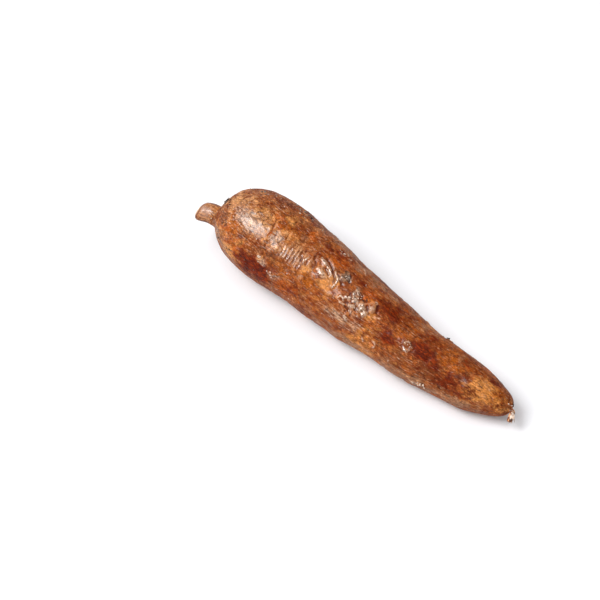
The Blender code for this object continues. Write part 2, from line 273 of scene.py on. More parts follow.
WELT_WANDER_PATTERN = (0.0022, 0.0018, 95.0)
WELT_POWER = 2.2
# Keeps a welt of a single spot from a division by zero
TINY = 1e-12

# Rough, broken bark: distance along, angle round, reach along, reach round, height
ROUGH = (
    (0.1415, 118, 0.011, 0.0095, 0.0004), (0.112, 100, 0.009, 0.006, 0.00022),
    (0.188, 121, 0.004, 0.004, 0.00025), (0.0715, 158, 0.005, 0.003, 0.00025),
    (0.206, 182, 0.007, 0.003, 0.0003), (0.105, 63, 0.006, 0.003, 0.0002),
    (0.056, 37, 0.008, 0.0025, 0.00035), (0.13, 300, 0.012, 0.009, 0.0004),
    (0.08, 20, 0.008, 0.006, 0.0003), (0.215, 290, 0.008, 0.006, 0.0003),
)
ROUGH_PATTERN = (0.0024, 0.0019, 31.4)
ROUGH_DEPTH = 3.0

# Patches of colour by tone: distance along, angle round, reach along, reach round, strength
TONES = ("tan", "orange", "ochre", "red", "mauve", "painted_sheen", "scuff_and_sheen", "blotch", "scar", "paper", "wax")
PATCHES = {
    "tan": (
        (0.012, 90, 0.012, 0.013, 0.6), (0.03, 108, 0.015, 0.014, 0.4), (0.05, 112, 0.01, 0.01, 0.6),
        (0.057, 147, 0.005, 0.003, 0.8), (0.091, 117, 0.005, 0.006, 0.9),
        (0.113, 118, 0.009, 0.009, 1.0), (0.158, 140, 0.009, 0.008, 0.4),
        (0.159, 160, 0.008, 0.005, 0.4), (-0.008, 100, 0.01, 0.012, 0.9),
        (0.25, 122, 0.009, 0.008, 1.8), (0.262, 116, 0.008, 0.008, 0.6),
        (0.036, 150, 0.008, 0.007, 0.5), (0.243, 159, 0.01, 0.007, 0.4),
        (0.036, 92, 0.007, 0.006, 0.8), (0.061, 77, 0.007, 0.006, 0.7), (0.03, 174, 0.01, 0.007, 1.0),
        (0.016, 164, 0.008, 0.005, 0.7), (0.156, 184, 0.012, 0.007, 1.5),
        (0.154, 114, 0.007, 0.005, 0.7), (0.047, 99, 0.006, 0.006, 0.8),
        (0.039, 110, 0.006, 0.005, 0.8), (0.066, 98, 0.007, 0.005, 0.5),
        (0.268, 150, 0.005, 0.005, 0.8),
    ),
    "orange": (
        (0.036, 158, 0.01, 0.007, 1.1), (0.08, 76, 0.004, 0.003, 1.0), (0.084, 168, 0.009, 0.006, 0.9),
        (0.108, 79, 0.01, 0.008, 0.7), (0.0413, 158, 0.004, 0.003, 1.2),
        (0.052, 95, 0.004, 0.0014, 1.2), (0.022, 150, 0.01, 0.006, 0.5),
        (0.107, 103, 0.0024, 0.0014, 1.2), (0.1345, 119, 0.006, 0.0014, 0.8),
        (0.144, 98, 0.006, 0.005, 0.9), (0.049, 87, 0.0032, 0.0032, 1.3),
        (0.0532, 107, 0.0014, 0.01, 1.2),
    ),
    "ochre": (
        (0.018, 139, 0.009, 0.009, 1.3), (0.262, 112, 0.008, 0.008, 0.5),
        (0.065, 105, 0.013, 0.012, 0.9), (0.075, 138, 0.012, 0.01, 0.6),
        (0.097, 131, 0.007, 0.006, 0.9), (0.155, 95, 0.01, 0.007, 0.7), (0.178, 97, 0.01, 0.008, 0.6),
        (0.223, 92, 0.013, 0.009, 0.7), (0.019, 154, 0.007, 0.005, 0.8),
    ),
    "red": (
        # Dark red bark; the rows at 164 to 167 degrees, on the head's lower flank, are also painted
        # shade
        (0.104, 70, 0.014, 0.005, 0.6), (0.09, 164, 0.012, 0.006, 0.5), (0.055, 167, 0.016, 0.01, 1.6),
        (0.085, 82, 0.012, 0.005, 0.2), (0.084, 166, 0.012, 0.007, 0.4),
        (0.132, 80, 0.012, 0.006, 0.5), (0.163, 90, 0.014, 0.009, 0.8),
        (0.172, 128, 0.008, 0.007, 0.9), (0.202, 112, 0.013, 0.009, 1.15),
        (0.226, 138, 0.008, 0.006, 0.8), (0.199, 80, 0.009, 0.005, 0.6),
        (0.255, 75, 0.006, 0.005, 0.8), (0.23, 75, 0.009, 0.004, 0.6),
        (0.1548, 99, 0.0022, 0.003, 1.2), (0.1345, 120, 0.003, 0.0014, 0.7),
        (0.07, 50, 0.012, 0.0036, 0.5),
    ),
    "mauve": (
        (0.014, 136, 0.007, 0.007, 0.8), (0.07, 135, 0.01, 0.008, 0.6),
        (0.055, 137, 0.005, 0.004, 1.0), (0.132, 150, 0.014, 0.006, 0.9),
        (0.184, 158, 0.012, 0.009, 1.0), (0.206, 150, 0.011, 0.009, 0.9),
        (0.245, 165, 0.014, 0.006, 0.6), (0.226, 68, 0.016, 0.005, 0.6),
    ),
    # Painted sheen: a pale reflection laid along the outlines, and the place of a painted highlight on
    # the stub
    "painted_sheen": (
        (-0.0095, 120, 0.004, 0.0024, 0.6), (0.013, 180, 0.011, 0.0055, 1.0),
        (0.032, 188, 0.012, 0.0035, 0.8), (0.1, 50, 0.036, 0.0045, 0.5), (0.135, 56, 0.03, 0.005, 0.6),
        (0.205, 184, 0.03, 0.0055, 0.9), (0.24, 178, 0.016, 0.006, 0.8),
        (0.145, 186, 0.022, 0.005, 1.0), (0.185, 60, 0.014, 0.005, 0.6),
    ),
    # Scuffed streaks, and a painted sheen on the shoulder of the head
    "scuff_and_sheen": (
        (0.031, 113, 0.013, 0.009, 0.7), (0.131, 149, 0.012, 0.0045, 0.45),
        (0.147, 146, 0.007, 0.004, 0.4), (0.059, 148, 0.004, 0.002, 0.8),
        (0.06, 112, 0.0045, 0.005, 0.7),
    ),
    "blotch": (
        (0.235, 111, 0.005, 0.004, 0.9), (0.243, 133, 0.006, 0.004, 0.7),
        (0.2567, 67, 0.006, 0.004, 0.8), (0.266, 130, 0.004, 0.006, 0.6), (0.2, 108, 0.016, 0.01, 0.5),
        (0.165, 95, 0.016, 0.01, 0.5), (0.222, 145, 0.016, 0.008, 0.5),
        (0.002, 110, 0.003, 0.008, 0.8), (0.043, 50, 0.012, 0.0036, 0.5),
    ),
    "scar": (
        (0.1203, 93, 0.003, 0.0024, 1.3), (0.0056, 107, 0.0016, 0.0016, 1.2),
        (0.2736, 46, 0.0012, 0.0014, 1.2), (0.225, 160, 0.008, 0.003, 0.4),
    ),
    "paper": (
        (0.014, 96, 0.018, 0.016, 0.9), (0.04, 110, 0.016, 0.014, 1.0), (0.02, 178, 0.016, 0.008, 0.5),
        (0.072, 112, 0.018, 0.011, 0.9), (0.057, 147, 0.006, 0.004, 1.0),
        (0.108, 104, 0.012, 0.006, 0.8), (0.138, 116, 0.012, 0.01, 1.0),
        (0.132, 148, 0.016, 0.006, 0.9), (0.188, 122, 0.005, 0.005, 0.9), (0.11, 45, 0.05, 0.008, 0.6),
        (0.2, 175, 0.035, 0.006, 0.5), (0.252, 118, 0.01, 0.008, 0.7),
    ),
    "wax": (
        (0.034, 109, 0.024, 0.016, 1.0), (0.076, 112, 0.02, 0.014, 1.0),
        (0.112, 104, 0.02, 0.014, 1.0), (0.142, 116, 0.016, 0.014, 1.0),
        (0.19, 122, 0.012, 0.008, 0.7), (0.25, 118, 0.014, 0.01, 0.8), (0.165, 112, 0.03, 0.015, 0.55),
        (0.218, 112, 0.034, 0.013, 0.5), (0.12, 70, 0.11, 0.005, 0.5), (0.072, 158, 0.006, 0.004, 1.0),
        (0.135, 148, 0.014, 0.007, 0.7), (-0.01, 100, 0.01, 0.01, 1.0),
    ),
}
PATCH_WANDER = 0.005
PATCH_WANDER_PATTERNS = ((0.009, 0.006, 41.0), (0.009, 0.006, 57.0))
STANDING_PASSES = 14

# Stubs of broken rootlets: distance along, angle round, length, radius, lean in degrees
ROOTLETS = (
    (0.0044, 103, 0.0046, 0.0013, 10), (0.004, 110, 0.0026, 0.0009, 10),
    (0.2736, 46, 0.0022, 0.0011, 10), (0.0208, 60, 0.0012, 0.0008, 10),
    (0.0148, 180, 0.0012, 0.0009, 10), (0.2064, 37, 0.0044, 0.0012, 20),
    (0.146, 250, 0.0024, 0.0012, 30), (0.09, 330, 0.0022, 0.0011, 20), (0.195, 0, 0.0022, 0.001, 25),
    (0.24, 320, 0.002, 0.0009, 30), (0.045, 300, 0.0016, 0.001, 15),
)
ROOTLET_SIDES = 9
ROOTLET_ROUGHNESS = 0.35
ROOTLET_SHADES = (0.0, 0.3)
ROOTLET_MIDDLE = 0.4
ROOTLET_DEPTH = 1.2
ROOTLET_FOOT = 1.2
ROOTLET_TOP = 0.7

# Clusters of scabs: distance along, angle round, reach along, reach round, count, half lengths,
# thickness share, greatest lift in degrees, darkest and palest shade
SCABS = (
    (0.1415, 120, 0.005, 0.0046, 14, (0.0005, 0.0011), 0.35, 35, (0.0, 1.1)),
    (0.1345, 106, 0.0036, 0.0026, 7, (0.0005, 0.001), 0.35, 35, (0.0, 1.1)),
    (0.1205, 92, 0.0014, 0.0012, 7, (0.0005, 0.0011), 0.4, 20, (0.1, 0.9)),
    (0.057, 147, 0.0022, 0.001, 4, (0.0005, 0.001), 0.3, 20, (0.5, 0.9)),
    (0.0715, 158, 0.002, 0.001, 4, (0.0004, 0.0008), 0.4, 25, (0.6, 1.0)),
    (0.105, 63, 0.003, 0.001, 5, (0.0004, 0.0008), 0.4, 25, (0.5, 1.0)),
    (0.188, 123, 0.002, 0.0018, 4, (0.0004, 0.0008), 0.4, 25, (0.4, 0.9)),
    (0.206, 183, 0.0036, 0.0012, 9, (0.0005, 0.001), 0.4, 25, (0.4, 1.0)),
    (0.057, 44, 0.006, 0.001, 14, (0.0006, 0.0014), 0.3, 45, (0.0, 0.4)),
    (0.025, 60, 0.008, 0.002, 12, (0.0004, 0.0009), 0.4, 45, (0.0, 0.4)),
    (0.09, 52, 0.02, 0.0016, 10, (0.0004, 0.0009), 0.3, 45, (0.0, 0.6)),
    (0.0044, 106, 0.001, 0.0012, 7, (0.0008, 0.0014), 0.6, 45, (0.0, 0.3)),
    (-0.003, 124, 0.0014, 0.0024, 8, (0.0003, 0.0006), 0.5, 30, (0.0, 0.9)),
    (0.2745, 40, 0.0006, 0.0012, 7, (0.0004, 0.0008), 0.5, 45, (0.3, 1.0)),
    (0.273, 100, 0.0008, 0.0012, 5, (0.0004, 0.0007), 0.5, 30, (0.6, 1.0)),
    (0.05, 50, 0.04, 0.001, 16, (0.0004, 0.0008), 0.4, 45, (0.0, 0.5)),
    (0.025, 170, 0.02, 0.0016, 12, (0.0004, 0.0008), 0.4, 45, (0.0, 0.2)),
    (0.009, 100, 0.001, 0.008, 8, (0.0004, 0.0008), 0.5, 40, (0.0, 0.4)),
    (0.016, 170, 0.004, 0.002, 8, (0.0004, 0.0009), 0.5, 40, (0.0, 0.5)),
    (0.14, 300, 0.005, 0.0044, 12, (0.0006, 0.0012), 0.4, 30, (0.2, 0.9)),
    (0.09, 250, 0.03, 0.02, 20, (0.0004, 0.001), 0.4, 30, (0.0, 0.8)),
    (0.19, 330, 0.03, 0.016, 20, (0.0004, 0.001), 0.4, 30, (0.0, 0.8)),
    (0.12, 90, 0.07, 0.03, 30, (0.0003, 0.0006), 0.4, 30, (0.0, 1.0)),
)
SCAB_SEED = 7
SCAB_START = -0.008
SCAB_END = 0.276
SCAB_WIDTH = (0.5, 0.9)
SCAB_HEIGHT = (0.7, 1.3)
SCAB_UNEVENNESS = 0.9
SCAB_LUMPS = 2.2
SCAB_SHIFTS = 90.0

# Strands of the frayed tail: side offset, up offset, radius, extra length, curl
STRANDS = (
    (-0.0012, 0.0004, 0.0004, 0.0006, -0.0016), (-0.0007, 0.001, 0.0005, 0.0, -0.0008),
    (-0.0001, 0.0012, 0.0006, -0.001, 0.0002), (0.0005, 0.0011, 0.0005, 0.0, -0.0008),
    (0.001, 0.0007, 0.0005, -0.0012, 0.0006), (0.0012, 0.0001, 0.0004, -0.0004, 0.0006),
    (0.0005, -0.0008, 0.0005, 0.0002, -0.0008), (-0.0007, -0.0008, 0.0005, 0.0004, 0.0006),
)
STRAND_START = 0.16
STRAND_SHADE = 0.55
STRAND_SPOTS = 1.5
STRAND_SPOT_SIZE = 0.0020
STRAND_STEPS = 10
STRAND_SIDES = 6


def linear(channel):
    """An 8-bit display value as a linear one."""
    share = channel / 255.0
    return share / 12.92 if share <= 0.04045 else ((share + 0.055) / 1.055) ** 2.4


def paint(red, green, blue):
    """A colour in 8-bit display values as a shader colour."""
    return (linear(red), linear(green), linear(blue), 1.0)


# Camera, floor and light


def view_directions():
    """The directions to the right, up and back towards the camera."""
    turn, rise = CAMERA_AZIMUTH, CAMERA_ELEVATION
    right = Vector((math.cos(turn), math.sin(turn), 0.0))
    back = Vector((math.sin(turn) * math.cos(rise), -math.cos(turn) * math.cos(rise), math.sin(rise)))
    return right, back.cross(right), back


def make_camera():
    right, up, back = view_directions()
    pixel = CAMERA_DISTANCE / FOCAL_PIXELS
    middle = 0.5 * PHOTO_SIZE
    aside = (middle - CENTRE_PIXEL[0]) * pixel
    above = (CENTRE_PIXEL[1] - middle) * pixel
    data = bpy.data.cameras.new("camera")
    data.sensor_width = SENSOR_WIDTH
    data.lens = SENSOR_WIDTH * FOCAL_PIXELS / PHOTO_SIZE
    data.clip_start = CLIP_START
    data.clip_end = CLIP_END
    camera = bpy.data.objects.new("camera", data)
    centre = 0.5 * (CAD_LOW + CAD_HIGH)
    camera.location = centre + CAMERA_DISTANCE * back + aside * right + above * up
    camera.rotation_euler = (0.5 * math.pi - CAMERA_ELEVATION, 0.0, CAMERA_AZIMUTH)
    bpy.context.scene.collection.objects.link(camera)
    bpy.context.scene.camera = camera


def make_soft_box(name, direction, distance, width, power):
    """A square soft box that faces the origin from a direction."""
    data = bpy.data.lights.new(name, "AREA")
    data.shape = "SQUARE"
    data.size = width
    data.energy = power
    box = bpy.data.objects.new(name, data)
    towards = Vector(direction).normalized()
    box.location = distance * towards
    box.rotation_euler = towards.to_track_quat("Z", "Y").to_euler()
    bpy.context.scene.collection.objects.link(box)
    return box


def make_world():
    """A white studio: bright walls and a dark ceiling."""
    world = bpy.data.worlds.new("studio")
    world.use_nodes = True
    tree = world.node_tree
    direction = tree.nodes.new("ShaderNodeTexCoord")
    parts = tree.nodes.new("ShaderNodeSeparateXYZ")
    walls = tree.nodes.new("ShaderNodeMapRange")
    walls.interpolation_type = "SMOOTHSTEP"
    walls.inputs["From Min"].default_value = HORIZON_RISE[0]
    walls.inputs["From Max"].default_value = HORIZON_RISE[1]
    walls.inputs["To Min"].default_value = HORIZON_STRENGTH
    walls.inputs["To Max"].default_value = ZENITH_STRENGTH
    tree.links.new(direction.outputs["Generated"], parts.inputs[0])
    tree.links.new(parts.outputs["Z"], walls.inputs["Value"])
    background = tree.nodes["Background"]
    background.inputs["Color"].default_value = (1.0, 1.0, 1.0, 1.0)
    tree.links.new(walls.outputs[0], background.inputs["Strength"])
    bpy.context.scene.world = world


def make_lights():
    """One soft box from the camera's upper left, and an overhead fill that leaves no reflection."""
    make_soft_box("key", KEY_DIRECTION, KEY_DISTANCE, KEY_WIDTH, KEY_POWER)
    fill = make_soft_box("fill", (0.0, 0.0, 1.0), FILL_HEIGHT, FILL_WIDTH, FILL_POWER)
    fill.visible_glossy = False
    make_world()
    bpy.context.scene.view_settings.view_transform = "Standard"


def make_floor():
    bm = bmesh.new()
    bmesh.ops.create_grid(bm, x_segments=1, y_segments=1, size=FLOOR_HALF_WIDTH)
    mesh = bpy.data.meshes.new("floor")
    bm.to_mesh(mesh)
    bm.free()
    mesh.materials.append(Shading("floor").finish(FLOOR_SURFACE))
    floor = bpy.data.objects.new("floor", mesh)
    bpy.context.scene.collection.objects.link(floor)


# The plain shape of the root


def smooth_step(low, high, value):
    """0 below low and 1 above high, with a soft start and a soft end."""
    share = np.clip((value - low) / (high - low), 0.0, 1.0)
    return share * share * (3.0 - 2.0 * share)


def dome(depth, length, power):
    """The share of the full radius that a rounded end has at a depth behind its front."""
    inside = np.clip(depth / length, 0.0, 1.0)
    return (1.0 - (1.0 - inside) ** power) ** (1.0 / power)


def soft_max(first, second, fillet):
    """The larger of two radii, with a fillet where they meet."""
    return 0.5 * (first + second + np.sqrt((first - second) ** 2 + fillet**2))


def radius_at(along):
    """The plain radius of the stub, body and tail at a distance along the root from its shoulder."""
    body = (SHOULDER_RADIUS - TAPER * along) * dome(along, HEAD_DOME_LENGTH, HEAD_DOME_POWER)
    body = body * dome(BODY_LENGTH - along, TIP_DOME_LENGTH, TIP_DOME_POWER)
    from_cut = along + STUB_LENGTH
    stub = STUB_RADIUS - STUB_NARROWING * (1.0 - smooth_step(0.0, STUB_LENGTH, from_cut))
    from_end = BODY_LENGTH + TAIL_LENGTH - along
    with_stub = soft_max(body, stub, STUB_FILLET)
    with_tail = soft_max(body, TAIL_RADIUS, TAIL_FILLET)
    radius = np.where(along < 0.5 * BODY_LENGTH, with_stub, with_tail)
    return radius * dome(from_cut, STUB_END, STUB_END_POWER) * dome(from_end, TAIL_RADIUS, 2.0)


def heading_at(along):
    """The root's yaw and pitch, in radians, at a distance along it."""
    yaw = STUB_YAW * (1.0 - smooth_step(STUB_TURN_START, STUB_TURN_END, along))
    yaw = yaw + TIP_YAW * smooth_step(TIP_YAW_START, TIP_YAW_END, along)
    curl = smooth_step(BODY_LENGTH + TAIL_TURN_START, BODY_LENGTH + TAIL_TURN_END, along)
    yaw = yaw + (TAIL_YAW - TIP_YAW) * curl
    pitch = LEAN + (TAIL_PITCH - LEAN) * curl
    return yaw, pitch


def headings(along):
    """The directions in which the root runs at distances along it."""
    yaw, pitch = heading_at(along)
    return np.stack((np.cos(pitch) * np.cos(yaw), np.cos(pitch) * np.sin(yaw), np.sin(pitch)), axis=1)


def off_axis(along):
    """How far to the side, and how far up, the stub and the tail stand off the body's axis."""
    radius = radius_at(along)
    by_stub = np.minimum((STUB_MERGE_RADIUS - radius) / (STUB_MERGE_RADIUS - STUB_RADIUS), 1.0)
    by_stub = soft_max(by_stub, 0.0, MERGE_SOFTNESS)
    by_tail = np.minimum((TAIL_MERGE_RADIUS - radius) / (TAIL_MERGE_RADIUS - TAIL_RADIUS), 1.0)
    by_tail = soft_max(by_tail, 0.0, MERGE_SOFTNESS)
    in_head = (along < 0.5 * BODY_LENGTH)[:, None]
    return np.where(in_head, by_stub[:, None] * STUB_OFF_AXIS, by_tail[:, None] * TAIL_OFF_AXIS)


def centreline(samples):
    """The points of the root's centreline, with its shoulder at x = 0, at increasing distances."""
    heading = headings(samples)
    steps = np.diff(samples)[:, None] * 0.5 * (heading[1:] + heading[:-1])
    points = np.vstack((np.zeros(3), np.cumsum(steps, axis=0)))
    shoulder = np.array([np.interp(0.0, samples, points[:, axis]) for axis in range(3)])
    points = points - shoulder
    points[:, 2] += SHOULDER_RADIUS
    points[:, 1:] += off_axis(samples)
    return points


def ring_places(count):
    """Distances along the root of its rings, closer where it is wrinkled or thin."""
    radii = radius_at(PROFILE)
    edges = [(end - WRINKLED_FADE, end + WRINKLED_FADE) for end in (WRINKLED_START, WRINKLED_END)]
    wrinkled = smooth_step(*edges[0], PROFILE) * (1.0 - smooth_step(*edges[1], PROFILE))
    thin = 1.0 - smooth_step(THINNEST_SHARE * THIN_RADIUS, THIN_RADIUS, radii)
    closeness = 1.0 + CLOSER * np.maximum(wrinkled, thin)
    run = np.hypot(np.diff(PROFILE), np.diff(radii)) * closeness[1:]
    run = np.concatenate(([0.0], np.cumsum(run)))
    return np.interp(np.linspace(0.0, run[-1], count + 1), run, PROFILE)


class Skin:
    """Points on the unrolled bark: distances along the root, angles round it and plain radii."""

    def __init__(self, along, around):
        self.along = along
        self.around = around
        self.radius = radius_at(along)
        self.across = np.cos(around) * self.radius
        self.up = np.sin(around) * self.radius

    def noise(self, size_along, size_round, shift=0.0):
        """Smooth noise from -1 to 1 in a pattern."""
        axes = (self.along / size_along + shift, self.across / size_round, self.up / size_round)
        places = zip(*(axis.ravel() for axis in axes))
        return np.array([noise.noise(Vector(place)) for place in places]).reshape(self.along.shape)

    def wander(self, reach, patterns):
        """How far the outlines of marks stray, along the root and round it."""
        return [reach * self.noise(*pattern) for pattern in patterns]

    def from_mark(self, mark_along, mark_around):
        """How far the points are from a mark, in metres along the root and round it."""
        turn = (self.around - math.radians(mark_around) + math.pi) % (2.0 * math.pi) - math.pi
        return self.along - mark_along, turn * self.radius

    def marks(self, shape, rows, wander=(0.0, 0.0)):
        """The shape of each mark in a table, round its distance along and its angle."""
        for mark_along, mark_around, *sizes in rows:
            down, across = self.from_mark(mark_along, mark_around)
            yield shape(down + wander[0], across + wander[1], *sizes)


def swell(down, across, reach_down, reach_across, height):
    return height * np.exp(-((down / reach_down) ** 2) - (across / reach_across) ** 2)


def crease(down, across, slant, half_length, half_width, depth):
    """A groove that runs round the root, with a raised lip on each side and ends that fade out."""
    turn = math.radians(slant)
    run = across * math.cos(turn) + down * math.sin(turn)
    off = np.abs(down * math.cos(turn) - across * math.sin(turn)) / half_width
    fade = np.exp(-((run / half_length) ** 4))
    return depth * fade * (LIP_SHARE * np.exp(-((off - LIP_OFFSET) ** 2)) - np.exp(-(off**2)))


def knob(down, across, size, height):
    """A round bump with a dimple in its top."""
    away = np.hypot(down, across) / size
    return height * (np.exp(-(away**4)) - KNOB_DIMPLE * np.exp(-((DIMPLE_NARROWING * away) ** 2)))


def scattered(seed, count, *ranges):
    """Rows of values, each drawn evenly from the range of its column."""
    draw = random.Random(seed)
    return [[draw.uniform(*span) for span in ranges] for _ in range(count)]


def scattered_creases():
    """Creases on the far side and the underside, as rows of CREASES."""
    rows = scattered(SCATTER_SEED + 1, *SCATTERED_CREASES)
    return [(*sizes, SCATTERED_CREASE_WIDTH, depth) for *sizes, depth in rows]


def scattered_patches():
    """Patches of colour on the far side, as items of PATCHES."""
    rows = scattered(SCATTER_SEED + 2, *SCATTERED_PATCHES)
    patches = []
    for tone, (along, around, reach, roundness, strength) in zip(cycle(SCATTERED_TONES), rows):
        patches.append((tone, [(along, around, reach, reach * roundness, strength)]))
    return patches


def wart_ring():
    """The ring of warts beside the largest scar, as rows of KNOBS."""
    ring_along, ring_around, ring_radius = WART_RING
    bark_radius = float(radius_at(np.array(ring_along)))
    rows = []
    for index in range(WART_RING_KNOBS):
        turn = 2.0 * math.pi * index / WART_RING_KNOBS
        along = ring_along + ring_radius * math.cos(turn)
        around = ring_around + math.degrees(ring_radius * math.sin(turn) / bark_radius)
        rows.append((along, around, WART_RADIUS, WART_HEIGHT))
    return rows


def coarse_relief(skin):
    """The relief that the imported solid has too: lumps, swells, creases and knobs."""
    height = UNEVENNESS * skin.noise(*UNEVEN_PATTERN)
    wander = skin.wander(MARK_WANDER, MARK_WANDER_PATTERNS)
    creases = [*CREASES, *scattered_creases()]
    knobs = [*KNOBS, *wart_ring(), *scattered(SCATTER_SEED, *SCATTERED_KNOBS)]
    height = sum(skin.marks(swell, SWELLS), height)
    height = sum(skin.marks(crease, creases, wander), height)
    return sum(skin.marks(knob, knobs, wander), height)


def on_body(along):
    """1 on the bark of the body, fading to 0 on the stub and at the tip."""
    from_tip = smooth_step(BODY_LENGTH - TIP_FADE, BODY_LENGTH, along)
    return smooth_step(*BODY_FADE, along) * (1.0 - from_tip)


# The finer relief of the bark


def from_line(skin, spots):
    """How far the points are from a line through a few spots on the bark, in metres."""
    nearest = np.full(skin.along.shape, np.inf)
    for start, end in zip(spots, spots[1:] or spots):
        down, across = skin.from_mark(*start)
        run = end[0] - start[0]
        turn = math.radians(end[1] - start[1]) * skin.radius
        share = np.clip((down * run + across * turn) / (run**2 + turn**2 + TINY), 0.0, 1.0)
        nearest = np.minimum(nearest, np.hypot(down - share * run, across - share * turn))
    return nearest


def welts(skin):
    """The heights of the welts, and the depths of the gaps, as two lots of relief."""
    wander = WELT_WANDER * skin.noise(*WELT_WANDER_PATTERN)
    raised = np.zeros(skin.along.shape)
    sunk = np.zeros(skin.along.shape)
    for half_width, height, spots in WELTS:
        away = from_line(skin, spots) + wander
        relief = height * np.exp(-(np.abs(away / half_width) ** WELT_POWER))
        raised = np.maximum(raised, relief)
        sunk = np.minimum(sunk, relief)
    return raised, sunk


def fine_relief(skin):
    """Grain, granules, lifted plates and rough places."""
    plates = smooth_step(-PLATE_EDGE, PLATE_EDGE, skin.noise(*PLATE_PATTERN))
    height = GRAIN_HEIGHT * skin.noise(*GRAIN_PATTERN)
    height = height + GRANULE_HEIGHT * skin.noise(*GRANULE_PATTERN) + PLATE_HEIGHT * plates
    broken = 1.0 - ROUGH_DEPTH * np.abs(skin.noise(*ROUGH_PATTERN))
    for place in skin.marks(swell, ROUGH):
        height = height + place * broken
    return height


def fine_ridges(skin):
    """Patches of fine ridges that run round the root."""
    height = np.zeros(skin.along.shape)
    wander = RIDGE_WANDER * skin.noise(*RIDGE_WANDER_PATTERN)
    for mark_along, mark_around, slant, reach_down, reach_across, spacing, rise in RIDGED:
        down, across = skin.from_mark(mark_along, mark_around)
        turn = math.radians(slant)
        off = down * math.cos(turn) - across * math.sin(turn) + wander
        waves = np.sin(2.0 * math.pi * off / spacing)
        height = height + swell(down, across, reach_down, reach_across, rise) * waves
    return height


def stub_relief(skin):
    """The lengthwise fibre of the stub."""
    on_stub = 1.0 - smooth_step(-STUB_FADE, STUB_FADE, skin.along)
    from_cut = smooth_step(0.0, CUT_FADE, skin.along + STUB_LENGTH)
    return STUB_GRAIN_HEIGHT * skin.noise(*STUB_GRAIN_PATTERN) * on_stub * from_cut


def tail_flattening(skin):
    """The factor on the radius that flattens the tail's section, turning as the strip twists."""
    past_tip = skin.along - BODY_LENGTH
    share = smooth_step(BODY_LENGTH - TAIL_FADE, BODY_LENGTH + TAIL_FADE, skin.along)
    twist = TAIL_TWIST_START + TAIL_TWIST * past_tip / TAIL_LENGTH
    return 1.0 + TAIL_FLATTENING * share * np.cos(2.0 * (skin.around - twist))


def stub_cut(skin, reach):
    """How far the slanting cut of the stub moves the points near its end along it."""
    share = 1.0 - smooth_step(0.0, STUB_CUT_REACH, skin.along + STUB_LENGTH)
    return STUB_CUT_SLANT * share * reach * np.cos(skin.around - STUB_CUT_SIDE)


def standing_out(height):
    """How far the bark stands above its own surroundings, from repeated averaging of the relief."""
    level = height
    for _ in range(STANDING_PASSES):
        beside = 0.25 * (np.roll(level[:, :-1], 1, axis=1) + np.roll(level[:, :-1], -1, axis=1))
        level = 0.5 * level + np.hstack((beside, beside[:, :1]))
        padded = np.vstack((level[:1], level, level[-1:]))
        level = 0.5 * level + 0.25 * (padded[:-2] + padded[2:])
    return height - level


def tone_fields(skin):
    """How much of each tone the bark has at each point, with irregular edges."""
    fields = {tone: np.zeros(skin.along.shape) for tone in TONES}
    wander = skin.wander(PATCH_WANDER, PATCH_WANDER_PATTERNS)
    for tone, rows in [*PATCHES.items(), *scattered_patches()]:
        for patch in skin.marks(swell, rows, wander):
            fields[tone] = np.maximum(fields[tone], patch)
    return fields


class RolledBark:
    """The sheet of bark round the centreline: its points by ring and side, and what they carry."""

    def __init__(self, rings, sides):
        self.places = ring_places(rings)
        line = centreline(PROFILE)
        axes = [np.interp(self.places, PROFILE, line[:, axis]) for axis in range(3)]
        centre = np.stack(axes, axis=1)
        yaw, _ = heading_at(self.places)
        self.sideways = np.stack((-np.sin(yaw), np.cos(yaw), np.zeros_like(yaw)), axis=1)
        self.upward = np.cross(headings(self.places), self.sideways)
        turns = np.linspace(0.0, 2.0 * math.pi, sides + 1)
        skin = Skin(*np.meshgrid(self.places, turns, indexing="ij"))
        raised, sunk = welts(skin)
        ridges = fine_ridges(skin)
        height = coarse_relief(skin) + fine_relief(skin)
        height = height + raised + sunk + ridges
        height = height * on_body(skin.along) + stub_relief(skin)
        reach = skin.radius * tail_flattening(skin) + height
        outward = np.cos(skin.around)[..., None] * self.sideways[:, None, :]
        outward = outward + np.sin(skin.around)[..., None] * self.upward[:, None, :]
        self.points = centre[:, None, :] + reach[..., None] * outward
        self.points += stub_cut(skin, reach)[..., None] * headings(self.places)[:, None, :]
        self.centre = centre + self.rest()
        self.unrolled = np.stack((skin.along, skin.across, skin.up), axis=2)
        self.fields = tone_fields(skin)
        self.fields["standing"] = standing_out(height) / MILLIMETRE
        self.fields["welt"] = (raised + np.maximum(ridges, 0.0)) / MILLIMETRE

    def rest(self):
        """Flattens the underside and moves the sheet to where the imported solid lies."""
        self.points[..., 2] = np.maximum(self.points[..., 2], FLAT_DEPTH)
        low = self.points.min(axis=(0, 1))
        high = self.points.max(axis=(0, 1))
        cad_low, cad_high = (np.array(corner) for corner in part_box("cassava_root"))
        shift = 0.5 * (cad_low + cad_high) - 0.5 * (low + high)
        shift[2] = cad_low[2] - low[2]
        self.points += shift
        return shift

    def spot(self, along, around):
        """A point on the bark with its outward and lengthwise directions."""
        ring = int(np.clip(np.searchsorted(self.places, along), 2, RINGS - 2))
        side = round(math.radians(around % 360) / (2.0 * math.pi) * SIDES) % SIDES
        down = self.points[ring + 2, side] - self.points[ring - 2, side]
        across = self.points[ring, (side + 2) % SIDES] - self.points[ring, (side - 2) % SIDES]
        outward = Vector(np.cross(down, across)).normalized()
        lengthwise = Vector(down).normalized()
        return Vector(self.points[ring, side]), outward, lengthwise


def linked(name, bm, material, smooth=True):
    """A finished piece from a bmesh, riding on the root."""
    mesh = bpy.data.meshes.new(name)
    bm.to_mesh(mesh)
    bm.free()
    if smooth:
        mesh.shade_smooth()
    mesh.materials.append(material)
    piece = bpy.data.objects.new(name, mesh)
    bpy.context.scene.collection.objects.link(piece)
    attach(piece, "root")
    return piece


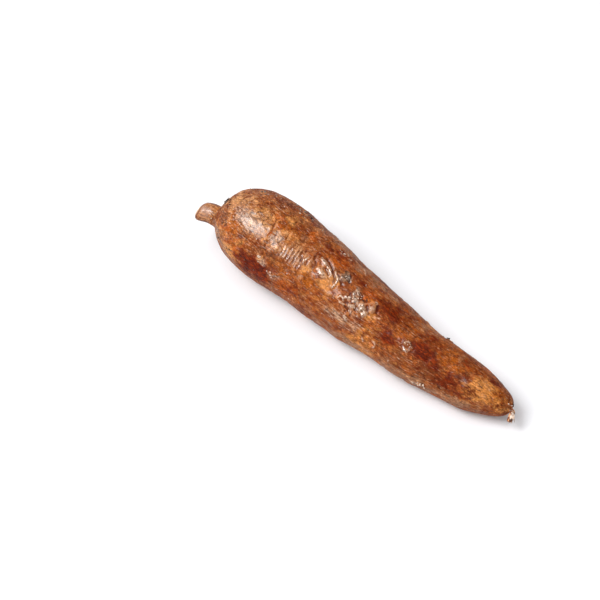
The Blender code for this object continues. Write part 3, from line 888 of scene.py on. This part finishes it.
def make_bark(bark, material):
    """The bark of the stub, body and tail as one closed mesh, with its tones as attributes."""
    bm = bmesh.new()
    bmesh.ops.create_grid(bm, x_segments=RINGS, y_segments=SIDES, size=1.0)
    unrolled = bm.verts.layers.float_vector.new("unrolled")
    layers = {name: bm.verts.layers.float.new(name) for name in bark.fields}
    for vert in bm.verts:
        ring = round((vert.co.x + 1.0) * 0.5 * RINGS)
        side = round((vert.co.y + 1.0) * 0.5 * SIDES)
        vert.co = bark.points[ring, side]
        vert[unrolled] = bark.unrolled[ring, side]
        for name, layer in layers.items():
            vert[layer] = bark.fields[name][ring, side]
    bmesh.ops.remove_doubles(bm, verts=bm.verts, dist=WELD_DISTANCE)
    bmesh.ops.recalc_face_normals(bm, faces=bm.faces)
    piece = linked("bark", bm, material)
    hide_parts("cassava_root")


def make_scabs(bark, material):
    """Clusters of small lumps and lifted flakes on the bark."""
    draw = random.Random(SCAB_SEED)
    bm = bmesh.new()
    shade = bm.verts.layers.float.new("shade")
    for mark_along, mark_around, *reaches, count, sizes, thickness, lift, shades in SCABS:
        for _ in range(count):
            along = min(max(draw.gauss(mark_along, reaches[0]), SCAB_START), SCAB_END)
            turn = draw.gauss(0.0, reaches[1]) / float(radius_at(np.array(along)))
            point, outward, lengthwise = bark.spot(along, mark_around + math.degrees(turn))
            length = draw.uniform(*sizes)
            width = length * draw.uniform(*SCAB_WIDTH)
            height = length * thickness * draw.uniform(*SCAB_HEIGHT)
            spin = Quaternion(outward, draw.uniform(0.0, 2.0 * math.pi))
            forward = spin @ lengthwise
            crosswise = outward.cross(forward)
            forward = Quaternion(crosswise, -math.radians(draw.uniform(0.0, lift))) @ forward
            upright = forward.cross(crosswise)
            shift = Vector((draw.uniform(0.0, SCAB_SHIFTS), 0.0, 0.0))
            pale = draw.uniform(*shades)
            for vert in bmesh.ops.create_icosphere(bm, subdivisions=2, radius=1.0)["verts"]:
                swollen = vert.co * (1.0 + SCAB_UNEVENNESS * noise.noise(SCAB_LUMPS * vert.co + shift))
                offset = length * swollen.x * forward + width * swollen.y * crosswise
                vert.co = point + offset + height * swollen.z * upright
                vert.co.z = max(vert.co.z, 0.0)
                vert[shade] = pale
    linked("scabs", bm, material)


def make_rootlets(bark, material):
    """The short stumps of broken rootlets."""
    bm = bmesh.new()
    shade = bm.verts.layers.float.new("shade")
    draw = random.Random(SCAB_SEED + 1)
    noise.seed_set(SCAB_SEED + 1)
    for along, around, length, radius, lean in ROOTLETS:
        point, outward, lengthwise = bark.spot(along, around)
        across = outward.cross(lengthwise)
        axis = Quaternion(across, math.radians(lean)) @ outward
        placed = axis.to_track_quat("Z", "Y").to_matrix().to_4x4()
        placed.translation = point + ROOTLET_MIDDLE * length * axis
        made = bmesh.ops.create_cone(
            bm,
            cap_ends=True,
            segments=ROOTLET_SIDES,
            radius1=ROOTLET_FOOT * radius,
            radius2=ROOTLET_TOP * radius,
            depth=ROOTLET_DEPTH * length,
            matrix=placed,
        )
        pale = draw.uniform(*ROOTLET_SHADES)
        for vert in made["verts"]:
            vert.co += ROOTLET_ROUGHNESS * radius * noise.noise_vector(vert.co / radius)
            vert.co.z = max(vert.co.z, 0.0)
            vert[shade] = pale
    linked("rootlet_stumps", bm, material, smooth=False)


def make_strands(bark, material):
    """The frayed fibres at the end of the tail, each a thin tube rolled from a grid."""
    bm = bmesh.new()
    shade = bm.verts.layers.float.new("shade")
    first = int(np.searchsorted(bark.places, BODY_LENGTH + STRAND_START * TAIL_LENGTH))
    root, heading = bark.centre[first], headings(bark.places)[first]
    sideways, upward = bark.sideways[first], bark.upward[first]
    for side_offset, up_offset, radius, extra, curl in STRANDS:
        length = (1.0 - STRAND_START) * TAIL_LENGTH + extra
        made = bmesh.ops.create_grid(bm, x_segments=STRAND_STEPS, y_segments=STRAND_SIDES, size=1.0)
        for vert in made["verts"]:
            share = 0.5 * (vert.co.x + 1.0)
            turn = math.pi * vert.co.y
            bend = curl * share**2
            middle = root + length * share * heading + (side_offset + bend) * sideways
            middle = middle + up_offset * upward
            thick = radius * (1.0 - share**3)
            vert.co = middle + thick * (math.cos(turn) * sideways + math.sin(turn) * upward)
            vert.co.z = max(vert.co.z, 0.0)
            vert[shade] = STRAND_SHADE + STRAND_SPOTS * noise.noise(vert.co / STRAND_SPOT_SIZE)
    bmesh.ops.remove_doubles(bm, verts=bm.verts, dist=WELD_DISTANCE)
    bmesh.ops.recalc_face_normals(bm, faces=bm.faces)
    linked("tail_strands", bm, material)


# Shader maths


class Value:
    """A node's output. Arithmetic on it adds Math nodes."""

    def __init__(self, shading, socket):
        self.shading = shading
        self.socket = socket

    def math(self, operation, first, second):
        return self.shading.node("ShaderNodeMath", {"operation": operation}, {0: first, 1: second})

    def __add__(self, other):
        return self.math("ADD", self, other)

    __radd__ = __add__

    def __sub__(self, other):
        return self.math("SUBTRACT", self, other)

    def __rsub__(self, other):
        return self.math("SUBTRACT", other, self)

    def __mul__(self, other):
        return self.math("MULTIPLY", self, other)

    __rmul__ = __mul__


class Shading:
    """A material with a Principled shader, and the nodes that feed it."""

    def __init__(self, name):
        self.material = bpy.data.materials.new(name)
        self.material.use_nodes = True
        self.tree = self.material.node_tree
        self.shader = self.tree.nodes["Principled BSDF"]
        self.colour = None

    def feed(self, sockets, values):
        """Links or sets sockets, by their names or numbers."""
        for key, value in values.items():
            if isinstance(value, Value):
                self.tree.links.new(value.socket, sockets[key])
            else:
                sockets[key].default_value = value

    def finish(self, values):
        """The material, with its shader's sockets filled."""
        self.feed(self.shader.inputs, values)
        return self.material

    def node(self, kind, settings, values, output=0):
        """A new node with its settings made first, then its sockets filled or linked."""
        node = self.tree.nodes.new(kind)
        for name, value in settings.items():
            setattr(node, name, value)
        self.feed(node.inputs, values)
        return Value(self, node.outputs[output])

    def attribute(self, name, output="Fac"):
        return self.node("ShaderNodeAttribute", {"attribute_name": name}, {}, output)

    def vector(self, operation, first, second, output=0):
        settings = {"operation": operation}
        return self.node("ShaderNodeVectorMath", settings, {0: first, 1: second}, output)

    def spot(self, place, size_along, size_round, shift):
        """A place on the unrolled bark, in units of a pattern's sizes and shifted."""
        factors = (1.0 / size_along, 1.0 / size_round, 1.0 / size_round)
        return self.vector("ADD", self.vector("MULTIPLY", place, factors), (shift, shift, shift))

    def noise(self, place, size_along, size_round, detail, roughness, shift):
        """Noise from 0 to 1 in a pattern."""
        spot = self.spot(place, size_along, size_round, shift)
        values = {"Vector": spot, "Scale": 1.0, "Detail": detail, "Roughness": roughness}
        return self.node("ShaderNodeTexNoise", {}, values)

    def cells(self, place, pattern):
        """The distance to the edges of irregular cells."""
        values = {"Vector": self.spot(place, *pattern), "Scale": 1.0}
        return self.node("ShaderNodeTexVoronoi", {"feature": "DISTANCE_TO_EDGE"}, values)

    def step(self, value, name):
        """0 before a step's start and its height past its end, with a soft change between."""
        start, end, height = STEPS[name]
        settings = {"interpolation_type": "SMOOTHSTEP"}
        return self.node("ShaderNodeMapRange", settings, {0: value, 1: start, 2: end, 4: height})

    def mix(self, share, first, second):
        """A colour between two others."""
        return self.node("ShaderNodeMix", {"data_type": "RGBA"}, {0: share, 6: first, 7: second}, 2)

    def blend(self, share, first, second):
        """A number between two others."""
        return self.node("ShaderNodeMix", {"data_type": "FLOAT"}, {0: share, 2: first, 3: second})

    def brightened(self, colour, factor):
        return self.node("ShaderNodeVectorMath", {"operation": "SCALE"}, {0: colour, 3: factor})

    def lay(self, share, tint):
        """Lays a share of a tint over the colour so far."""
        self.colour = self.mix(share, self.colour, tint)

    def bump(self, height):
        """The normal of a surface raised by a height in metres."""
        return self.node("ShaderNodeBump", {}, {"Strength": 1.0, "Distance": 1.0, "Height": height})


# Finishes


# Patterns of the bark's colours: size along, size round, detail, roughness, shift
PATTERNS = {
    "broad": (0.0200, 0.0120, 3.0, 0.60, 2.0),
    "mottle": (0.0090, 0.0060, 4.0, 0.65, 9.0),
    "granular": (0.0064, 0.0050, 5.0, 0.72, 13.0),
    "streaky": (0.0120, 0.0040, 5.0, 0.72, 15.0),
    "grains": (0.0021, 0.0017, 3.0, 0.70, 17.0),
    "dashes": (0.0034, 0.0011, 3.0, 0.70, 29.0),
    "fine_grains": (0.0012, 0.0010, 2.0, 0.60, 37.0),
    "fine_dashes": (0.0022, 0.0008, 2.0, 0.60, 43.0),
    "fibre": (0.0060, 0.0007, 3.0, 0.60, 71.0),
    "stalk_fibre": (0.0060, 0.0018, 4.0, 0.70, 77.0),
    "speck": (0.0019, 0.0015, 2.0, 0.60, 91.0),
    "pale_speck": (0.0024, 0.0011, 2.0, 0.60, 97.0),
    "crinkle": (0.0019, 0.0014, 3.0, 0.65, 103.0),
    "ember": (0.0036, 0.0014, 3.0, 0.65, 109.0),
    "shreds": (0.0026, 0.0016, 2.0, 0.60, 119.0),
}
CRACK_CELLS = (0.0056, 0.0044, 5.0)
SCAB_SPECKLE = (0.0016, 0.0016, 3.0, 0.7, 0.0)
BROAD_GRAIN = (0.0072, 0.0050, 4.0, 0.65)
FINE_GRAIN = (0.0026, 0.0018, 4.0, 0.65)
STREAKY_GRAIN = (0.0064, 0.0010, 4.0, 0.65)
GRAIN_SHIFT = 50.0
GRAIN_SHIFT_STEP = 7.0
GRAIN_CONTRAST = 2.4
# A direction across the stub's section whose ends mark its outline as the camera sees it, where painted
# shade goes
STUB_SHADE_SIDE = (0.0, 0.82, 0.57)
TINT_SHARE = 0.92
WELT_HIGHLIGHT_SHARE = 0.7
WELT_GAP_SHADE_SHARE = 0.95
CRACK_SHARE = 0.5
STALK_SHARE = 0.7

# Soft steps of values: where they start, where they end and how high they go
STEPS = {
    "towards_tip": (0.075, 0.150, 1.0),
    "brown": (0.38, 0.60, 1.0),
    "deep": (0.15, 0.95, 1.0),
    "tint": (0.10, 0.80, 1.0),
    "papery": (0.44, 0.60, 1.0),
    "pale_paper": (0.40, 0.60, 1.0),
    "grit": (0.42, 0.58, 1.0),
    "speck": (0.62, 0.70, 0.5),
    "pale_speck": (0.60, 0.70, 1.0),
    "ember": (0.52, 0.60, 0.6),
    "hollow": (0.10, 0.46, 0.72),
    "pale_heights": (0.08, 0.30, 0.35),
    "welt": (0.15, 0.85, 1.0),
    "welt_highlight": (0.36, 0.62, 1.0),
    "welt_foot": (0.20, 0.60, 1.0),
    "welt_gap_shade": (0.48, 0.34, 1.0),
    "cracked": (0.52, 0.62, 1.0),
    "beside_crack": (0.02, 0.08, 1.0),
    "wax": (0.05, 0.95, 1.0),
    "strip": (BODY_LENGTH - 0.0010, BODY_LENGTH + 0.0016, 1.0),
    "strip_shred": (0.40, 0.60, 1.0),
    "stalk": (0.0005, -0.0050, 1.0),
    "stalk_fibre": (0.38, 0.60, 1.0),
    "stalk_speck": (0.56, 0.66, 1.0),
    "stalk_pale_speck": (0.56, 0.68, 1.0),
    "stub_outline_shade": (0.0062, 0.0076, 1.0),
    "near_cut": (0.0030 - STUB_LENGTH, 0.0012 - STUB_LENGTH, 1.0),
    "cut": (0.0012 - STUB_LENGTH, 0.0004 - STUB_LENGTH, 1.0),
    "cut_fibre": (0.35, 0.65, 1.0),
    "pale_scab": (0.0, 1.0, 1.0),
}

BROWN = paint(160, 86, 38)
DEEP_BROWN = paint(118, 48, 12)
# Each tone's tint, the grain of its edges, and its greatest share where the bark is deep red
TINTS = {
    "ochre": (paint(164, 84, 14), BROAD_GRAIN, TINT_SHARE),
    "mauve": (paint(128, 68, 36), BROAD_GRAIN, TINT_SHARE),
    "orange": (paint(180, 84, 16), BROAD_GRAIN, TINT_SHARE),
    "red": (paint(90, 18, 2), BROAD_GRAIN, TINT_SHARE),
    "tan": (paint(208, 136, 74), BROAD_GRAIN, 0.05),
    # painted sheen: a pale reflection colour along the outlines
    "painted_sheen": (paint(158, 114, 92), BROAD_GRAIN, 0.05),
    # scuffs, and a painted sheen on the head's shoulder
    "scuff_and_sheen": (paint(214, 184, 170), STREAKY_GRAIN, 0.05),
    "blotch": (paint(98, 36, 10), FINE_GRAIN, TINT_SHARE),
    "scar": (paint(80, 52, 34), FINE_GRAIN, TINT_SHARE),
}
PAPER = paint(206, 150, 104)
PAPER_GREY = paint(172, 122, 88)
CRACK = paint(58, 22, 10)
# Painted shade for the hollows and for the gaps between welts
CREVICE_SHADE = paint(74, 24, 10)
PALE_HEIGHTS = paint(216, 160, 118)
# Painted highlight on the crests of the welts
WELT_HIGHLIGHT = paint(242, 208, 178)
STALK = paint(186, 124, 80)
STALK_BROWN = paint(96, 46, 24)
# Painted highlight on the stub
STALK_HIGHLIGHT = paint(222, 192, 178)
SPECK = paint(74, 30, 12)
PALE_SPECK = paint(218, 164, 122)
EMBER = paint(166, 62, 10)
STRIP = paint(224, 168, 124)
STRIP_BROWN = paint(104, 42, 22)
CUT_WOOD = paint(206, 176, 132)
SCAB = paint(52, 26, 14)
PALE_SCAB = paint(244, 214, 190)
DIMMED = 0.84
BRIGHTENED = 1.16
HEAD_WARMTH = (0.97, 0.97, 0.92, 1.0)
TIP_WARMTH = (0.94, 0.88, 0.70, 1.0)

# Settings of the shaders that are the same all over a material
FLOOR_SURFACE = {
    "Base Color": paint(224, 224, 227),
    "Roughness": 0.9,
    "Specular IOR Level": 0.1,
    "Emission Color": (1.0, 1.0, 1.0, 1.0),
    "Emission Strength": 0.14,
}
BARK_SURFACE = {
    "Roughness": 0.5,
    "Specular IOR Level": 0.06,
    "Coat Roughness": 0.17,
    "Coat IOR": 2.0,
    "Sheen Weight": 0.015,
    "Sheen Roughness": 0.25,
    "Sheen Tint": paint(226, 220, 222),
}
SCAB_SURFACE = {
    "Roughness": 0.4,
    "Specular IOR Level": 0.2,
    "Coat Roughness": 0.14,
    "Coat IOR": 1.9,
}


def colour_ends(shading, place, along, noises, painted_sheen):
    """Colours the strip at the tip and the stub with its cut, with a painted highlight and painted shade
    on the stub. Returns where the stub is.
    """
    step, mix, lay = shading.step, shading.mix, shading.lay
    lay(step(along, "strip"), mix(step(noises["shreds"], "strip_shred"), STRIP_BROWN, STRIP))
    on_stalk = step(along, "stalk")
    stalk = mix(step(noises["stalk_fibre"], "stalk_fibre"), STALK_BROWN, STALK)
    lay(on_stalk * STALK_SHARE, stalk)
    lay(on_stalk * step(noises["speck"], "stalk_speck") * STALK_SHARE, SPECK)
    lay(on_stalk * step(noises["pale_speck"], "stalk_pale_speck") * STALK_SHARE, PALE_SPECK)
    # Painted highlight on the stub, laid where the painted sheen lies
    lay(on_stalk * painted_sheen * STALK_SHARE, STALK_HIGHLIGHT)
    # Painted shade: dark stripes along the stub where its sides turn away from the camera
    sideways = shading.vector("DOT_PRODUCT", place, STUB_SHADE_SIDE, 1)
    stub_outline_shade = step(sideways.math("ABSOLUTE", sideways, 0.0), "stub_outline_shade") * on_stalk
    lay(stub_outline_shade * STALK_SHARE, STALK_BROWN)
    lay(step(along, "near_cut") * STALK_SHARE, STALK_BROWN)
    lay(step(along, "cut"), mix(step(noises["fibre"], "cut_fibre"), STRIP, CUT_WOOD))
    return on_stalk


def bark_finish():
    """Waxed bark: papery outer bark, broken away in places from the smooth red-brown bark below it."""
    shading = Shading("waxed_bark")
    step, mix, blend, lay = shading.step, shading.mix, shading.blend, shading.lay
    place = shading.attribute("unrolled", "Vector")
    fields = {name: shading.attribute(name) for name in (*TONES, "standing", "welt")}
    noises = {name: shading.noise(place, *pattern) for name, pattern in PATTERNS.items()}
    along = shading.node("ShaderNodeSeparateXYZ", {}, {0: place})
    towards_tip = step(along, "towards_tip")
    mottle, crinkle = noises["mottle"], noises["crinkle"]
    standing, welt = fields["standing"], fields["welt"]
    peeling = blend(towards_tip, noises["granular"], noises["streaky"])
    speckle = blend(towards_tip, noises["grains"], noises["dashes"])
    grit = blend(towards_tip, noises["fine_grains"], noises["fine_dashes"])

    # Brown bark under tints with ragged edges
    shading.colour = mix(step(mottle, "brown"), DEEP_BROWN, BROWN)
    deep = step(fields["red"], "deep")
    bright = 1.0 - deep
    for index, (tone, (tint, grain, deep_share)) in enumerate(TINTS.items()):
        edges = shading.noise(place, *grain, GRAIN_SHIFT + GRAIN_SHIFT_STEP * index)
        amount = fields[tone] + (edges - 0.5) * GRAIN_CONTRAST
        share = TINT_SHARE - (TINT_SHARE - deep_share) * deep
        lay(step(amount, "tint") * share, tint)

    # What is left of the papery outer bark, mostly near the head
    cover = peeling + (speckle - 0.5) * 0.3 + (fields["paper"] - 0.55) * 0.22 - 0.05 * towards_tip
    cover = cover - 0.20 * deep - 0.05 * fields["ochre"]
    papery = step(cover, "papery")
    paper = mix(step(mottle, "pale_paper"), PAPER_GREY, PAPER)
    lay(papery * (0.6 - 0.2 * towards_tip) * bright, paper)

    # Lighter and darker grains, specks and embers, browner towards the tip
    unevenness = (speckle - 0.5) * 2.6 + (peeling - 0.5) * (2.0 - 0.8 * towards_tip)
    colour = shading.brightened(shading.colour, 1.0 + unevenness)
    dimmed = shading.brightened(colour, DIMMED)
    shading.colour = mix(step(grit, "grit"), dimmed, shading.brightened(colour, BRIGHTENED))
    lay(step(noises["speck"], "speck"), SPECK)
    lay(step(noises["pale_speck"], "pale_speck") * (0.4 - 0.2 * towards_tip) * bright, PALE_SPECK)
    lay(step(noises["ember"], "ember") * deep, EMBER)
    warmth = mix(towards_tip, HEAD_WARMTH, TIP_WARMTH)
    shading.colour = shading.vector("MULTIPLY", shading.colour, warmth)

    # Painted shade in hollows, paler heights, painted highlights on welts with painted shade in their
    # gaps, cracks
    lay(step(0.0 - standing, "hollow"), CREVICE_SHADE)
    # Paler on the heights of the relief
    lay(step(standing, "pale_heights") * bright, PALE_HEIGHTS)
    # Painted highlight on the crests of the welts, kept off the scars
    pale = step(welt, "welt") * step(crinkle, "welt_highlight") * (1.0 - fields["scar"])
    lay(pale * WELT_HIGHLIGHT_SHARE, WELT_HIGHLIGHT)
    # Painted shade in the gaps between the welts
    lay(step(welt, "welt_foot") * step(crinkle, "welt_gap_shade") * WELT_GAP_SHADE_SHARE, CREVICE_SHADE)
    cracked = step(mottle + fields["scuff_and_sheen"] * 0.3, "cracked")
    crack = (1.0 - step(shading.cells(place, CRACK_CELLS), "beside_crack")) * cracked
    lay(crack * CRACK_SHARE, CRACK)
    on_stalk = colour_ends(shading, place, along, noises, fields["painted_sheen"])

    # The finest relief, in metres, and the wax that gathers on the welts
    height = (speckle - 0.5) * 0.0010 + (peeling - 0.5) * 0.0008 + (grit - 0.5) * 0.00025
    height = height + papery * 0.00010 - crack * 0.00012
    height = height * (1.0 - 0.3 * on_stalk) * (1.0 - 0.45 * towards_tip)
    height = height + (crinkle - 0.5) * 0.0032 * welt
    wax = step(fields["wax"] + (noises["broad"] - 0.5) * 0.8, "wax")
    gloss = (0.02 + 0.24 * wax) * (1.0 - 0.7 * deep)
    varying = {
        "Base Color": shading.colour,
        "Normal": shading.bump(height),
        "Coat Weight": gloss + 0.90 * welt,
    }
    return shading.finish(BARK_SURFACE | varying)


def scab_finish():
    """Small lumps and flakes of scarred bark, from dark to pale."""
    shading = Shading("scarred_bark")
    place = shading.node("ShaderNodeTexCoord", {}, {}, "Object")
    speckle = shading.noise(place, *SCAB_SPECKLE)
    pale = shading.step(shading.attribute("shade"), "pale_scab")
    colour = shading.mix(pale, SCAB, PALE_SCAB)
    varying = {
        "Base Color": shading.brightened(colour, 1.0 + (speckle - 0.5) * 1.6),
        "Normal": shading.bump((speckle - 0.5) * 0.0003),
        "Coat Weight": 0.1 + 0.8 * pale,
    }
    return shading.finish(SCAB_SURFACE | varying)


bark = RolledBark(RINGS, SIDES)
make_camera()
make_lights()
make_floor()
make_bark(bark, bark_finish())
scabs = scab_finish()
make_scabs(bark, scabs)
make_rootlets(bark, scabs)
make_strands(bark, scabs)
